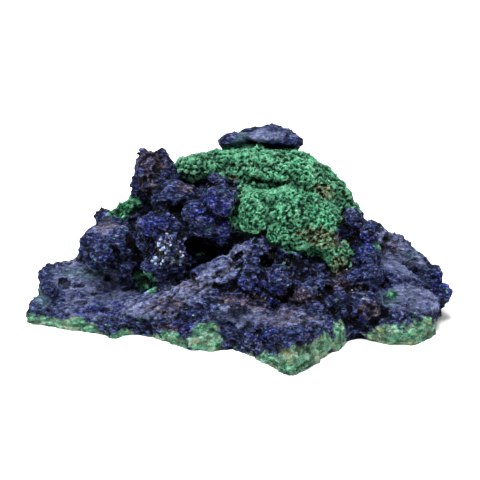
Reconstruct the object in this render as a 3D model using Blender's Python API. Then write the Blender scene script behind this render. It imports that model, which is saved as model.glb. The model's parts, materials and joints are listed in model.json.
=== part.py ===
"""Azurite specimen: one grown stone, about 90 mm wide.

A thin bed of malachite carries a plate of azurite.  A mound of azurite lumps rises from the
plate, with a tower on its left, a hollow in its left flank and a knob behind its crest.  A
malachite crust covers the crest and hangs over the front as a thick block with a tongue.  The
stone broke from its bed along a flat face, on which it rests.

All sizes in the tables are millimetres.  X runs to the right, Y to the back and Z up.
"""

import math
import random

import bmesh
import bpy
import numpy as np
from mathutils import Euler, Matrix, Vector, noise

MM = 0.001

# Driving dimensions, in millimetres
BED_THICKNESS = 3.0
BED_REACH_BELOW = 2.5      # how far the rough stone reaches below the flat rest face
PLATE_HEIGHT = 8.0         # top of the azurite plate in its middle
PLATE_MIDDLE = (0.0, 4.0)
FUSE_VOXEL = 0.7           # grain at which the lumps grow together
FINE_VOXEL = 0.6           # grain of the weathered surface
SEAM_DEPTH = 1.6           # how deep the crevice between two masses runs
NODULE_SIZE = 4.6
NODULE_HEIGHT = 0.6
GRAIN_SIZE = 2.4
GRAIN_HEIGHT = 0.4
ROUGH_SIZE = 5.0           # width of the irregular swells over the whole surface
ROUGH_HEIGHT = 0.4
ROUGH_FALL = 0.9           # how much lower each finer layer of the swells is
ROUGH_STEP = 2.0           # how much finer each layer is than the one before
ROUGH_LAYERS = 4
CUT_TOLERANCE = 0.001

# Shape of the lumps and seams, as shares of a lump's radius
LUMP_FACES = 11            # flat faces that a lump is roughly bounded by
FACE_DEPTHS = (0.76, 1.0)
LEAST_LEAN = 0.2           # a face turned further away than this doesn't cut the lump
LUMP_SWELL = 1.08          # makes up for what the faces cut off
LUMP_ROUGHNESS = 0.14
LUMP_BUMPS = 2.2           # bumps over one radius
SEAM_WIDTH = 0.3
SEAM_REACH = 1.3           # a seam ends this far out from the middle of the nearest lump
SEAM_FADE = 0.2            # and fades over this much before its end
NODULE_STEEPNESS = 1.6
NODULE_LEVEL = 0.6
FAR = 9.0
LUMP_SUBDIVISIONS = 3

TRIANGLES = 11600          # surface facets before the part below the rest face goes
SEEDS_PER_MASS = 40        # keeps the lumps of one mass alike when another mass gains one
FIRST_CUT_SEED = 2000
NOISE_STEP = Vector((3.1, 7.7, 1.9))

AZURITE_COLOUR = (0.022, 0.026, 0.11)
AZURITE_ROUGHNESS = 0.6

# The outline of the bed seen from above, from the left tip round the front to the back.
BED_OUTLINE = [
    (-45.8, -7.0), (-38.0, -11.0), (-29.5, -13.8), (-26.0, -17.0), (-22.5, -14.2),
    (-18.5, -15.4), (-15.0, -18.4), (-10.0, -22.4), (-5.5, -22.8), (-1.0, -21.8),
    (4.5, -28.4), (8.0, -33.8), (10.2, -35.4), (13.2, -32.4), (16.4, -27.4),
    (18.6, -23.8), (21.4, -21.6), (22.0, -17.4), (26.0, -16.8), (30.0, -19.4),
    (35.0, -20.0), (39.0, -17.2), (41.0, -13.8), (41.0, -8.0), (43.6, -3.0),
    (43.4, 3.0), (40.4, 8.0), (41.0, 13.6), (35.4, 20.6), (29.0, 20.8),
    (22.5, 26.6), (14.0, 28.4), (7.0, 24.6), (0.0, 25.4), (-8.0, 28.0),
    (-15.0, 23.2), (-22.0, 24.8), (-28.0, 18.8), (-36.0, 17.4), (-41.2, 12.8),
    (-42.6, 7.0), (-41.6, 1.0), (-43.8, -3.6),
]

# The upper edge of the azurite plate that lies on the bed: x, y, z in the same order.
PLATE_EDGE = [
    (-43.0, -6.0, 3.6), (-37.0, -9.4, 3.6), (-29.5, -12.2, 3.0), (-26.0, -14.8, 2.8),
    (-22.0, -12.8, 3.4), (-15.5, -15.8, 3.8), (-10.5, -20.0, 3.6), (-5.0, -21.0, 3.6),
    (-1.0, -20.4, 4.2), (4.8, -26.8, 4.8), (8.2, -31.8, 5.0), (10.4, -33.4, 5.0),
    (13.0, -31.0, 5.4), (16.2, -26.0, 5.4), (18.8, -22.6, 5.2), (21.4, -20.4, 4.6),
    (22.2, -16.6, 4.6), (26.0, -15.6, 4.2), (30.0, -17.8, 4.4), (35.0, -18.4, 4.8),
    (39.0, -15.6, 4.8), (40.6, -11.0, 5.2), (42.2, -6.0, 6.2), (43.6, 0.0, 6.8),
    (42.2, 4.0, 7.0), (40.0, 8.4, 6.8), (39.6, 13.4, 6.6), (34.0, 19.6, 6.0),
    (22.0, 25.0, 5.4), (13.6, 27.0, 5.0), (6.4, 24.0, 6.0), (-1.0, 24.8, 6.4),
    (-8.0, 26.6, 5.4), (-15.0, 22.4, 6.6), (-22.0, 23.4, 6.2), (-28.0, 18.2, 7.4),
    (-35.4, 16.6, 7.4), (-40.8, 12.0, 8.4), (-42.4, 6.6, 8.4), (-41.6, 1.0, 7.8),
    (-43.0, -3.4, 5.4),
]

# Lumps: centre x, y, z, radii x, y, z, and the tip in degrees, positive lowering the right end.
BODY = [
    (2.0, 8.0, 7.0, 22.0, 14.0, 15.0, 0),
    (-14.0, 9.0, 8.0, 12.0, 11.0, 12.0, 0),
    (30.0, 4.0, 4.0, 12.0, 13.0, 8.0, 0),
    (2.0, 17.0, 5.0, 30.0, 9.0, 9.0, 0),
    (-8.0, 12.0, 18.0, 10.0, 6.0, 9.0, 0),
    (11.0, 2.4, 19.0, 10.0, 5.4, 6.4, 14),
    (12.0, -10.0, 5.4, 13.0, 7.6, 5.2, 0),
    (31.0, 11.0, 3.4, 9.0, 8.0, 4.6, 0),
    (4.6, 12.0, 25.0, 6.4, 5.4, 6.0, 0),
    (19.0, 9.0, 16.6, 6.4, 5.4, 5.6, 36),
]
TOWER = [
    (-18.8, 8.4, 25.0, 5.0, 4.8, 8.6, 0),
    (-20.6, 8.8, 30.4, 2.5, 3.0, 4.3, -4),
    (-17.2, 8.0, 31.0, 2.2, 2.8, 4.3, 12),
    (-14.0, 7.6, 27.8, 3.6, 3.4, 3.2, 38),
    (-21.6, 7.4, 24.4, 2.6, 3.6, 5.2, 0),
    (-18.8, 4.6, 25.6, 3.0, 2.4, 3.8, 0),
]
LEFT_SHOULDER = [
    (-28.2, 5.0, 19.0, 3.6, 3.6, 3.1, 0),
    (-30.2, 3.0, 15.4, 3.5, 4.2, 3.1, 0),
    (-28.2, 0.6, 12.6, 4.2, 4.4, 3.6, 10),
    (-24.2, 0.4, 15.8, 3.8, 4.0, 3.6, 0),
    (-23.4, -1.0, 11.0, 3.8, 3.6, 3.6, 0),
    (-24.2, 6.0, 18.0, 4.6, 4.2, 4.6, 0),
    (-31.0, 2.6, 11.0, 3.4, 4.0, 3.0, 0),
]
SADDLE = [
    (-15.4, 3.4, 23.8, 4.8, 4.0, 3.2, 0),
    (-11.4, 4.4, 24.6, 3.6, 3.6, 2.8, 0),
]
LOWER_LEFT_LUMP = [
    (-16.2, -1.8, 19.4, 5.0, 4.8, 4.2, 0),
    (-17.2, -3.4, 15.2, 4.6, 4.6, 4.2, 0),
    (-15.8, -4.8, 11.6, 4.8, 4.2, 3.6, 0),
    (-12.6, -3.8, 15.4, 3.4, 3.8, 4.6, 0),
]
UPPER_LEFT_LUMP = [
    (-4.6, 0.2, 24.4, 5.4, 5.0, 3.8, -10),
    (-7.6, -1.6, 20.8, 5.0, 4.8, 4.0, -24),
    (-10.8, -2.2, 18.0, 3.4, 4.0, 3.2, -24),
    (-3.2, -1.6, 20.2, 3.6, 3.8, 4.0, 0),
    (-0.6, -1.2, 17.4, 2.8, 3.2, 2.6, 0),
]
LEFT_CREST = [
    (-5.2, 4.6, 27.8, 4.2, 3.2, 2.2, -6),
]
FLOW_RIDGE = [
    (3.8, -5.0, 15.6, 4.6, 4.0, 3.2, -34),
    (-1.4, -8.6, 11.6, 6.8, 4.6, 3.4, -30),
    (-8.4, -10.4, 8.0, 8.4, 5.4, 3.6, -22),
    (-17.0, -9.6, 5.4, 8.4, 5.8, 3.0, -10),
    (-3.6, -14.0, 6.4, 8.4, 5.4, 3.2, -16),
]
FRONT_LUMPS = [
    (8.0, -11.8, 11.4, 3.4, 3.4, 5.2, 8),
    (2.6, -12.2, 11.8, 2.7, 3.0, 4.8, -6),
    (6.6, -8.6, 16.2, 4.8, 3.4, 2.6, 4),
    (13.8, -11.8, 9.8, 4.0, 3.2, 3.0, -32),
    (18.8, -11.4, 9.6, 3.2, 3.2, 3.4, -22),
    (22.6, -10.8, 10.6, 2.6, 2.8, 3.2, 0),
    (25.4, -14.0, 6.4, 4.0, 3.6, 4.2, 0),
    (20.4, -15.0, 6.4, 3.6, 3.2, 2.8, 0),
    (1.6, -16.6, 6.8, 5.4, 3.2, 2.6, 0),
    (12.6, -16.6, 6.2, 6.4, 3.2, 2.6, 0),
    (13.4, -7.4, 13.6, 5.4, 3.4, 3.0, 20),
]
FRONT_APRON = [
    (8.4, -23.8, 4.2, 6.4, 6.4, 2.8, 0),
    (13.4, -24.6, 4.8, 4.0, 4.0, 3.2, 0),
    (3.2, -21.2, 4.4, 4.4, 4.0, 2.8, 0),
    (17.4, -20.0, 4.8, 3.6, 3.6, 2.8, 0),
    (9.6, -28.8, 4.2, 3.4, 3.6, 2.4, 0),
]
RIGHT_MOUND = [
    (23.6, -2.0, 19.4, 3.6, 4.0, 4.4, 0),
    (26.2, -5.0, 14.6, 3.4, 4.0, 6.0, 0),
    (28.6, 1.4, 16.4, 3.6, 4.0, 2.8, 0),
    (27.4, -8.6, 9.6, 3.6, 3.6, 3.4, 0),
    (41.2, -0.6, 7.8, 3.0, 3.6, 2.8, 0),
    (43.0, -4.6, 5.8, 2.7, 3.4, 2.8, 0),
]
RIGHT_FLANK = [
    (33.4, 2.0, 12.8, 4.4, 4.6, 3.2, 12),
    (37.6, 1.6, 10.2, 3.4, 4.2, 2.8, 20),
    (37.0, 2.4, 12.9, 1.0, 1.4, 1.7, 0),
    (33.4, -5.5, 8.2, 5.4, 6.4, 3.6, 14),
    (38.0, -8.4, 5.6, 4.4, 5.6, 2.8, 10),
    (32.0, -11.4, 5.0, 4.6, 4.6, 2.6, 0),
]
BACK_KNOB = [
    (5.4, 15.6, 32.0, 7.4, 4.6, 4.8, 4),
    (-0.4, 15.4, 32.9, 4.4, 3.0, 1.9, -10),
    (10.4, 15.0, 31.2, 3.2, 3.6, 2.9, 30),
    (4.6, 15.6, 26.0, 7.0, 4.8, 7.4, 0),
]
BACK_SLOPE = [
    (-7.6, 14.6, 21.0, 6.4, 5.8, 7.0, 10),
    (-14.0, 16.4, 15.0, 6.6, 6.0, 6.4, 0),
    (-22.4, 14.0, 12.6, 6.0, 6.4, 7.0, -12),
    (-30.6, 11.4, 9.4, 5.4, 6.8, 4.6, -20),
    (-2.0, 19.4, 14.6, 6.2, 5.0, 7.2, 0),
    (-8.4, 22.4, 7.4, 7.4, 4.6, 5.4, 12),
    (-20.0, 19.6, 8.0, 7.0, 5.0, 5.4, -14),
    (7.6, 20.6, 12.4, 6.0, 5.2, 6.4, -10),
    (13.6, 15.2, 19.6, 6.4, 6.2, 6.8, 24),
    (3.6, 23.0, 6.4, 6.0, 3.6, 4.4, 0),
    (15.6, 21.4, 9.0, 6.6, 5.4, 5.8, 16),
    (20.6, 14.2, 14.2, 5.4, 5.8, 6.0, 30),
    (27.0, 13.6, 9.8, 5.6, 6.6, 5.2, 20),
    (25.0, 20.4, 5.8, 6.0, 4.6, 3.8, 10),
    (34.4, 11.4, 7.4, 5.0, 6.6, 4.4, 20),
]
MALACHITE_CREST = [
    (-8.0, 8.8, 29.3, 6.6, 5.0, 2.7, -6),
    (0.6, 9.2, 29.6, 8.4, 6.0, 3.2, -4),
    (9.6, 8.6, 29.0, 7.2, 6.0, 3.4, 4),
    (14.8, 7.2, 27.1, 5.2, 6.0, 3.6, 34),
    (19.6, 5.8, 23.8, 4.4, 5.6, 3.4, 46),
    (23.0, 4.8, 19.7, 3.6, 4.6, 2.8, 48),
    (6.0, 6.6, 26.2, 8.0, 3.6, 2.4, 4),
]
MALACHITE_BLOCK = [
    (3.4, -1.4, 22.8, 5.4, 5.0, 5.0, -6),
    (2.4, -2.6, 19.8, 3.8, 3.8, 3.2, -10),
    (9.6, -1.4, 23.6, 7.0, 5.2, 4.2, 2),
    (15.8, -1.8, 21.8, 5.6, 5.2, 4.2, 24),
    (19.2, -3.4, 19.2, 3.8, 4.0, 3.6, 30),
    (10.8, -4.4, 18.6, 5.2, 3.4, 3.2, 6),
    (16.6, -4.6, 17.4, 4.4, 3.4, 3.2, 24),
    (20.8, -6.4, 13.8, 2.8, 2.6, 4.0, -8),
    (21.2, -7.2, 10.8, 2.3, 2.2, 2.6, 0),
]

# Each mass is one piece of growth: crevices run between masses and not inside one.
MASSES = [TOWER, SADDLE, LOWER_LEFT_LUMP, UPPER_LEFT_LUMP, LEFT_CREST, FLOW_RIDGE, FRONT_APRON,
          RIGHT_FLANK, BACK_KNOB, MALACHITE_CREST, MALACHITE_BLOCK]
MASSES += [[lump] for lump in LEFT_SHOULDER + FRONT_LUMPS + RIGHT_MOUND + BACK_SLOPE]

# Cuts, given like lumps, that open hollows and gaps in the fused stone.
CUTS = [
    (-7.2, -3.4, 14.0, 4.8, 6.0, 3.4, 4),       # the deep hollow in the left flank
    (-3.6, -3.2, 13.6, 3.0, 4.2, 2.0, 10),
    (-1.6, -4.6, 23.0, 0.9, 3.2, 3.6, 10),      # between the left mound and the block
    (9.2, -9.4, 17.0, 3.6, 3.6, 1.2, 4),        # under the overhanging block
    (15.4, -9.4, 14.6, 3.8, 4.0, 1.6, 30),
    (4.0, 2.4, 28.4, 6.4, 1.7, 2.2, 4),         # between the crest and the block
    (4.6, 12.8, 34.0, 9.6, 1.5, 4.0, 4),        # between the crest and the knob
    (-9.0, 2.6, 28.0, 4.4, 4.0, 1.2, -4),       # under the left end of the crest
    (-24.6, -4.4, 9.0, 6.4, 1.8, 0.9, 0),       # under the left shoulder
    (0.4, -19.4, 7.2, 1.8, 2.0, 1.6, 0),        # pits in the apron
    (11.2, -26.8, 7.0, 2.2, 2.2, 2.0, 0),
]


def fresh_scene():
    for item in list(bpy.data.objects):
        bpy.data.objects.remove(item)


def tip_matrix(tip):
    return Euler((0, math.radians(tip), 0)).to_matrix()


def reach_of_faces(way, faces):
    """How far a boulder bounded by flat faces reaches along the unit direction way."""
    reach = LUMP_SWELL
    for normal, depth in faces:
        lean = way.dot(normal)
        if lean > LEAST_LEAN:
            reach = min(reach, LUMP_SWELL * depth / lean)
    return reach


def add_lump(shape, lump, seed):
    """Adds one angular boulder: a sphere cut back by flat faces, roughened and set at its place."""
    x, y, z, rx, ry, rz, tip = lump
    chance = random.Random(seed)
    faces = []
    for _ in range(LUMP_FACES):
        normal = Vector([chance.gauss(0, 1) for _ in range(3)]).normalized()
        faces.append((normal, chance.uniform(*FACE_DEPTHS)))
    shift = NOISE_STEP * seed
    turn = tip_matrix(tip)
    made = bmesh.ops.create_icosphere(shape, subdivisions=LUMP_SUBDIVISIONS, radius=1.0)
    for vert in made["verts"]:
        way = vert.co.normalized()
        reach = reach_of_faces(way, faces)
        reach *= 1 + LUMP_ROUGHNESS * noise.noise(way * LUMP_BUMPS + shift)
        radii = Vector((way.x * rx, way.y * ry, way.z * rz))
        vert.co = (Vector((x, y, z)) + turn @ radii * reach) * MM


def add_slab(shape, low_edge, high_edge, middle_height):
    """Adds a closed slab: flat below, and above rising from its edge to a middle point."""
    low = [shape.verts.new(Vector(point) * MM) for point in low_edge]
    high = [shape.verts.new(Vector(point) * MM) for point in high_edge]
    middle = shape.verts.new(Vector((*PLATE_MIDDLE, middle_height)) * MM)
    shape.faces.new(reversed(low))
    for i in range(len(low)):
        j = (i + 1) % len(low)
        shape.faces.new((low[i], low[j], high[j], high[i]))
        shape.faces.new((high[i], high[j], middle))


def object_from(shape, name):
    mesh = bpy.data.meshes.new(name)
    shape.to_mesh(mesh)
    shape.free()
    item = bpy.data.objects.new(name, mesh)
    bpy.context.scene.collection.objects.link(item)
    return item


def applied(item):
    """Replaces the object's mesh by what its modifiers make of it."""
    graph = bpy.context.evaluated_depsgraph_get()
    mesh = bpy.data.meshes.new_from_object(item.evaluated_get(graph))
    item.modifiers.clear()
    item.data = mesh


def fuse(item, voxel):
    grow = item.modifiers.new("grown_together", "REMESH")
    grow.mode = "VOXEL"
    grow.voxel_size = voxel * MM
    applied(item)


def drop_crumbs(item):
    """Removes loose crumbs and sealed bubbles: all that isn't joined to the stone's main surface."""
    shape = bmesh.new()
    shape.from_mesh(item.data)
    waiting = set(shape.verts)
    islands = []
    while waiting:
        reached = [waiting.pop()]
        for vert in reached:
            ends = {edge.other_vert(vert) for edge in vert.link_edges} & waiting
            waiting -= ends
            reached.extend(ends)
        islands.append(reached)
    islands.sort(key=len)
    for island in islands[:-1]:
        bmesh.ops.delete(shape, geom=island, context="VERTS")
    shape.to_mesh(item.data)
    shape.free()


def rough_stone():
    """The bed, the plate and all lumps in one mesh, still passing through each other."""
    shape = bmesh.new()
    below = [(x, y, -BED_REACH_BELOW) for x, y in BED_OUTLINE]
    above = [(x, y, BED_THICKNESS) for x, y in BED_OUTLINE]
    add_slab(shape, below, above, BED_THICKNESS)
    inside_bed = [(x, y, BED_THICKNESS / 2) for x, y, z in PLATE_EDGE]
    add_slab(shape, inside_bed, PLATE_EDGE, PLATE_HEIGHT)
    for number, mass in enumerate([BODY] + MASSES):
        for i, lump in enumerate(mass):
            add_lump(shape, lump, SEEDS_PER_MASS * number + i)
    return object_from(shape, "azurite_specimen")


def cut_hollows(item):
    shape = bmesh.new()
    for number, cut in enumerate(CUTS):
        add_lump(shape, cut, FIRST_CUT_SEED + number)
    cutter = object_from(shape, "hollows")
    fuse(cutter, FUSE_VOXEL)
    opening = item.modifiers.new("opened", "BOOLEAN")
    opening.operation = "DIFFERENCE"
    opening.solver = "EXACT"
    opening.object = cutter
    applied(item)
    bpy.data.objects.remove(cutter)


def distance_to_mass(points, mass):
    """How far each point is from the middle of the mass's nearest lump, in that lump's radii."""
    nearest = np.full(len(points), FAR)
    for x, y, z, rx, ry, rz, tip in mass:
        along_axes = (points - (x, y, z)) @ np.array(tip_matrix(tip))
        away = np.linalg.norm(along_axes / (rx, ry, rz), axis=1)
        nearest = np.minimum(nearest, away)
    return nearest


def seams(points):
    """1 where two masses meet, falling to 0 on their round sides."""
    away = np.sort([distance_to_mass(points, mass) for mass in MASSES], axis=0)
    meet = np.clip(1 - (away[1] - away[0]) / SEAM_WIDTH, 0, 1)
    near_surface = np.clip((SEAM_REACH - away[0]) / SEAM_FADE, 0, 1)
    return meet * near_surface


def nodule_relief(point, size):
    """Positive in the middle of a nodule of the given size and negative in the gaps between."""
    near = noise.voronoi(point / size)[0]
    return min(1.0, NODULE_STEEPNESS * (near[1] - near[0])) - NODULE_LEVEL


def rough_swell(point):
    return noise.fractal(point / ROUGH_SIZE, ROUGH_FALL, ROUGH_STEP, ROUGH_LAYERS)


def weather(item):
    """Opens crevices between the masses and breaks their faces into nodules."""
    mesh = item.data
    points = np.array([vert.co for vert in mesh.vertices]) / MM
    normals = np.array([vert.normal for vert in mesh.vertices])
    push = -SEAM_DEPTH * seams(points)
    for i, point in enumerate(map(Vector, points)):
        push[i] += NODULE_HEIGHT * nodule_relief(point, NODULE_SIZE)
        push[i] += GRAIN_HEIGHT * nodule_relief(point + NOISE_STEP, GRAIN_SIZE)
        push[i] += ROUGH_HEIGHT * rough_swell(point)
    moved = (points + normals * push[:, None]) * MM
    mesh.vertices.foreach_set("co", moved.ravel())
    mesh.update()


def facet(item, triangles):
    """Thins the surface to about the given number of flat facets."""
    thin = item.modifiers.new("facets", "DECIMATE")
    thin.ratio = triangles / (2 * len(item.data.polygons))
    applied(item)


def cut_flat(item):
    """Cuts the stone off along its rest face, z = 0, and closes the cut."""
    shape = bmesh.new()
    shape.from_mesh(item.data)
    everything = shape.verts[:] + shape.edges[:] + shape.faces[:]
    cut = bmesh.ops.bisect_plane(shape, geom=everything, plane_co=(0, 0, 0), plane_no=(0, 0, 1),
                                 clear_inner=True, dist=CUT_TOLERANCE * MM)
    rim = [edge for edge in cut["geom_cut"] if isinstance(edge, bmesh.types.BMEdge)]
    bmesh.ops.contextual_create(shape, geom=rim)
    bmesh.ops.triangulate(shape, faces=shape.faces[:])
    bmesh.ops.recalc_face_normals(shape, faces=shape.faces[:])
    shape.to_mesh(item.data)
    shape.free()


def centre_on_origin(item):
    """Puts the origin below the middle of the stone's box, on the rest face."""
    xs = [vert.co.x for vert in item.data.vertices]
    ys = [vert.co.y for vert in item.data.vertices]
    middle = Vector(((min(xs) + max(xs)) / 2, (min(ys) + max(ys)) / 2, 0))
    item.data.transform(Matrix.Translation(-middle))


def give_material(item, name, colour, roughness):
    material = bpy.data.materials.new(name)
    material.use_nodes = True
    shader = material.node_tree.nodes["Principled BSDF"]
    shader.inputs["Base Color"].default_value = (*colour, 1.0)
    shader.inputs["Roughness"].default_value = roughness
    shader.inputs["Metallic"].default_value = 0.0
    item.data.materials.clear()
    item.data.materials.append(material)


def main():
    fresh_scene()
    stone = rough_stone()
    fuse(stone, FUSE_VOXEL)
    cut_hollows(stone)
    fuse(stone, FUSE_VOXEL)
    weather(stone)
    fuse(stone, FINE_VOXEL)
    drop_crumbs(stone)
    facet(stone, TRIANGLES)
    cut_flat(stone)
    centre_on_origin(stone)
    give_material(stone, "azurite", AZURITE_COLOUR, AZURITE_ROUGHNESS)


if __name__ == "__main__":
    main()
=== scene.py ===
"""Azurite specimen: the looks of one grown stone.

The stone is a mass of azurite on a thin bed of malachite.  A mossy crust of fibrous malachite
lies over its crest and hangs over the front as a block.  Each operator below makes one part of
that: the stone itself, the crust, the small azurite crystals, the malachite needles, the stage.

Tables hold millimetres, in the frame of the CAD model: X to the right, Y to the back, Z up.
"""

import json
import math

import bpy
import numpy as np
from mathutils import Euler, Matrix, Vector, noise
from mathutils.bvhtree import BVHTree

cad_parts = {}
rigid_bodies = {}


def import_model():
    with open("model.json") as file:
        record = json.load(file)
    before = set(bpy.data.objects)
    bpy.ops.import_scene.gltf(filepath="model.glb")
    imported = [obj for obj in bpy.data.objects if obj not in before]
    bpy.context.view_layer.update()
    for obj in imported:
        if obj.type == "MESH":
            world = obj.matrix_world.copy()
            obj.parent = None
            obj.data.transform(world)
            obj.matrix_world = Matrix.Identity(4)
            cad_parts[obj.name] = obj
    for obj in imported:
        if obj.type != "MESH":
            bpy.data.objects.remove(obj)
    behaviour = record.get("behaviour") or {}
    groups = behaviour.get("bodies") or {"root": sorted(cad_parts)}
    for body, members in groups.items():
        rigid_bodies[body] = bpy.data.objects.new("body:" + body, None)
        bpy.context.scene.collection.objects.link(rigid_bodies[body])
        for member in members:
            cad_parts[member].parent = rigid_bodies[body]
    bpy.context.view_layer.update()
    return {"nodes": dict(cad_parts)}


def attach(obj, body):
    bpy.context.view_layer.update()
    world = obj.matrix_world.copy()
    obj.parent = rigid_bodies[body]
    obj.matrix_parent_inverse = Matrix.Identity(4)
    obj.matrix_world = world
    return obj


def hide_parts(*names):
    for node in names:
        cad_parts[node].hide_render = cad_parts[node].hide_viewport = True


bl_info = {
    "name": "Azurite specimen",
    "version": (1, 0, 0),
    "blender": (4, 5, 0),
    "location": "View3D > Sidebar > Specimen",
    "description": "Builds a specimen of azurite and malachite with its crystals and its stage",
    "category": "Object",
}

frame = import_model()
NODE = "azurite_specimen"
BODY = "root"
MM = 0.001
# How many triangles the stone is thinned to at most.
MOST_TRIANGLES = 190_000
# How many times longer than wide a streak in the rock is, and how the bed's and the crest's run.
STREAK_LENGTH = 4.0
BED_WAY = (0.9, 0.3, 0.2)
CREST_WAY = (0.97, 0.0, -0.24)
# The grid that the crust is cut from, and how far its thickness lies inwards: -1 is all of it.
SHELL_GRID = 0.7
SHELL_OFFSET = -0.87
# What faces down below the rim is what the stone rests on.  Crystals keep clear of the ground.
REST_RIM = 1.0
REST_CLEAR = 0.9
# The turn from one ray to the next that spreads them evenly, in radians.
GOLDEN_ANGLE = 2.39996

# The fill lights' places in metres, with their watts, and the height that all lights face.
FILLS = (((-0.55, -0.45, 0.30), 0.45), ((0.55, -0.45, 0.30), 0.35), ((0.10, 0.60, 0.35), 0.80))
LIGHT_AIM = 15.0
# The camera's angle above the floor in degrees, what it faces and how far off it is in
# millimetres, and its lens.
CAMERA_RISE = 20
CAMERA_TARGET = (0.05, 3.34, 16.0)
CAMERA_DISTANCE = 400
CAMERA_LENS = 141.6

# Settings of the solid textures that break up the surface: clouds, cells and chips.
CLOUDY = {"noise_basis": "ORIGINAL_PERLIN"}
CELLS = {"weight_1": -1.0, "weight_2": 1.0}
CHIPS = {"noise_basis": "VORONOI_F1", "noise_distortion": "IMPROVED_PERLIN"}

# Widths of the grain in millimetres.  Massive azurite has crystals of 0.05 to 0.3 mm, and felted
# malachite has fibres of 0.01 to 0.1 mm.  Both are too fine to show, so they are drawn this coarse.
AZURITE_GRAIN = 0.6
AZURITE_FACET = 0.4
MALACHITE_FELT = 0.8
# Typical values: azurite has 1.73 to 1.84 and malachite 1.66 to 1.91.
AZURITE_IOR = 1.73
MALACHITE_IOR = 1.66

# Colours of what lies in the malachite and on it, and of the shade and highlights painted on it.
PALE_FELT = "#92c8ac"
DARK_FELT = "#0c3822"
SHADED_FELT = "#28503c"
FELT_HIGHLIGHT = "#9cd4b4"
FELT_GAP_SHADE = "#0a2416"
BROWN_CLAY = "#43302a"
LIMONITE = "#4a3a2c"
PALE_BED = "#a9c4b0"
TAN_BED = "#8c8a66"
RUSTY_BED = "#8a4a2c"
BED_SHADE = "#1c3c30"
BED_DARK_SPECKS = "#3c5a4a"
# How far the colours are strengthened again, all over, after the painted shade has greyed them.
BLUE = 1.06
GREEN = 1.15
# Painted glints: pale tones laid on the larger crystals, each with its place on a scale from dull
# to bright.
PAINTED_GLINT_TONES = ((0.45, "#0d1230"), (0.75, "#5f769c"), (1.0, "#c4dcea"))

# Each row of the tables is a blob: its middle x, y, z, its radii x, y, z, and, where it is tipped,
# by how many degrees.  A positive tip lowers the right end.
CRUST = [
    (-7.0, 12.2, 30.3, 7.0, 5.4, 2.0, -10),
    (0.6, 12.4, 30.2, 9.2, 6.6, 3.6, -4),
    (9.6, 11.8, 29.6, 8.0, 6.8, 3.8, 4),
    (15.0, 10.4, 27.4, 6.0, 6.8, 4.0, 34),
    (20.0, 9.0, 24.0, 5.0, 6.4, 3.8, 46),
    (23.6, 8.0, 20.0, 4.0, 5.4, 3.2, 48),
    (6.0, 9.8, 27.0, 8.8, 4.4, 2.8, 4),
    (3.2, 2.0, 23.0, 6.2, 5.8, 5.6, -6),
    (9.6, 2.0, 24.0, 7.8, 6.0, 4.8, 2),
    (15.8, 1.6, 22.0, 6.2, 6.0, 4.8, 24),
    (17.6, 0.0, 19.4, 3.6, 4.8, 4.0, 30),
    (10.8, -1.2, 18.8, 6.0, 4.2, 3.8, 6),
    (16.6, -1.4, 17.6, 5.0, 4.2, 3.8, 24),
    (20.8, -2.2, 13.8, 3.0, 3.2, 4.4, -8),
    (21.2, -2.8, 10.8, 2.5, 2.8, 2.8),
]
# Where azurite breaks through the crust again.
BARE = [
    (23.4, -3.0, 19.6, 3.0, 3.6, 3.2),
    (-0.6, 4.6, 27.0, 2.4, 2.2, 2.0),
]
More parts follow.
